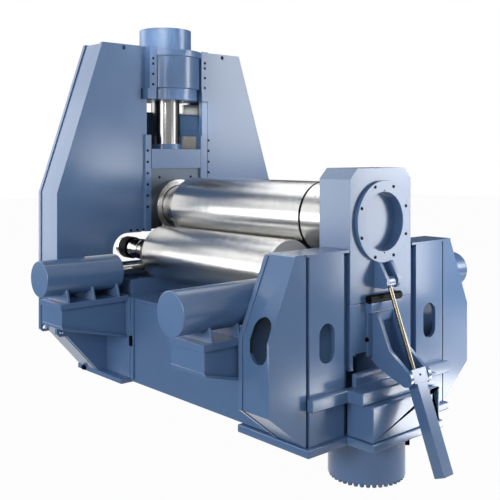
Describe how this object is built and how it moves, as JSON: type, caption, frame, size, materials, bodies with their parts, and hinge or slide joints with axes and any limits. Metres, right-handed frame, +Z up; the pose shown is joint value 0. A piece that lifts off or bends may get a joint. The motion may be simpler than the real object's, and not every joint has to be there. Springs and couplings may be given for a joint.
{
  "type": "plate rolling machine",
  "caption": "Heavy three-roll plate bending machine in blue paint with polished rolls, shifting lower rolls, a press-lifted top roll and a tilting drop-end bearing.",
  "frame": {"origin": "middle of the rolls' length in the middle plane, on the foundation face", "axes": "+X along the rolls to the drop end, -Y the front, +Z up"},
  "size_m": [5.8635, 5.08, 5.7463],
  "materials": {
    "blue_paint": "satin",
    "roll_steel": "polished",
    "chrome_rod": "polished",
    "machined_steel": "machined",
    "black_pin": "oxide"
  },
  "bodies": {
    "frame": {"base_front_plate": "blue_paint", "base_rear_plate": "blue_paint", "base_deck": "blue_paint", "base_sole": "blue_paint", "joint_front": "blue_paint", "joint_rear": "blue_paint", "far_foot": "blue_paint", "far_inner_plate": "blue_paint", "far_outer_plate": "blue_paint", "far_web_front": "blue_paint", "far_web_rear": "blue_paint", "press_cylinder": "blue_paint", "cheek_front": "blue_paint", "cheek_rear": "blue_paint", "guide_front": "blue_paint", "guide_rear": "blue_paint", "cyl_far_front": "blue_paint", "cyl_near_front": "blue_paint", "cyl_far_rear": "blue_paint", "cyl_near_rear": "blue_paint", "bracket_far_front": "blue_paint", "bracket_near_front": "blue_paint", "bracket_far_rear": "blue_paint", "bracket_near_rear": "blue_paint", "near_inner_plate": "blue_paint", "near_shell_front": "blue_paint", "near_shell_rear": "blue_paint", "near_plate_front": "blue_paint", "near_plate_rear": "blue_paint", "near_guide_front": "blue_paint", "near_guide_rear": "blue_paint", "near_belt": "blue_paint", "near_box": "blue_paint", "near_base": "blue_paint", "pit_cylinder": "blue_paint"},
    "far_slide": {"far_slide": "blue_paint", "press_rod": "chrome_rod"},
    "top_roll": {"top_roll": "roll_steel"},
    "front_carriage": {"car_far_front": "machined_steel", "car_near_front": "machined_steel"},
    "rear_carriage": {"car_far_rear": "machined_steel", "car_near_rear": "machined_steel"},
    "front_roll": {"front_roll": "roll_steel"},
    "rear_roll": {"rear_roll": "roll_steel"},
    "near_slider": {"near_slider": "blue_paint", "tilt_arms": "blue_paint"},
    "drop_end": {"drop_block": "blue_paint", "hinge_pin": "black_pin", "drop_cover": "blue_paint"},
    "tilt_barrel": {"tilt_barrel": "blue_paint"},
    "tilt_rod": {"tilt_rod": "chrome_rod"}
  },
  "joints": [
    {"name": "top_roll_lift", "type": "slide", "parent": "frame", "child": "far_slide", "axis": [0, 0, 1], "range_m": [-0.01, 0.35]},
    {"name": "top_roll_spin", "type": "hinge", "parent": "far_slide", "child": "top_roll", "pos_m": [0, 0, 2.4743], "axis": [1, 0, 0], "continuous": true},
    {"name": "near_lift", "type": "slide", "parent": "frame", "child": "near_slider", "axis": [0, 0, 1], "range_m": [-0.01, 0.35]},
    {"name": "front_roll_shift", "type": "slide", "parent": "frame", "child": "front_carriage", "axis": [0, 1, 0], "range_m": [-0.15, 0.01]},
    {"name": "rear_roll_shift", "type": "slide", "parent": "frame", "child": "rear_carriage", "axis": [0, -1, 0], "range_m": [-0.15, 0.01]},
    {"name": "front_roll_spin", "type": "hinge", "parent": "front_carriage", "child": "front_roll", "pos_m": [0, -0.579, 1.833], "axis": [1, 0, 0], "continuous": true},
    {"name": "rear_roll_spin", "type": "hinge", "parent": "rear_carriage", "child": "rear_roll", "pos_m": [0, 0.579, 1.833], "axis": [1, 0, 0], "continuous": true},
    {"name": "drop_end_tilt", "type": "hinge", "parent": "near_slider", "child": "drop_end", "pos_m": [2.3, 0, 1.588], "axis": [0, 1, 0], "range_deg": [0, 30]},
    {"name": "tilt_barrel_swing", "type": "hinge", "parent": "near_slider", "child": "tilt_barrel", "pos_m": [2.746, 0, 0.742], "axis": [0, 1, 0], "range_deg": [-0.5, 4.5]},
    {"name": "tilt_rod_stroke", "type": "slide", "parent": "tilt_barrel", "child": "tilt_rod", "axis": [-0.3513, 0, 0.9363], "range_m": [-0.085, 0.004]}
  ],
  "couplings": [
    {"joint": "near_lift", "follows": "top_roll_lift", "ratio": 1},
    {"joint": "tilt_barrel_swing", "follows": "drop_end_tilt", "ratio": 0.1197},
    {"joint": "tilt_rod_stroke", "follows": "drop_end_tilt", "m_per_rad": -0.1464}
  ]
}
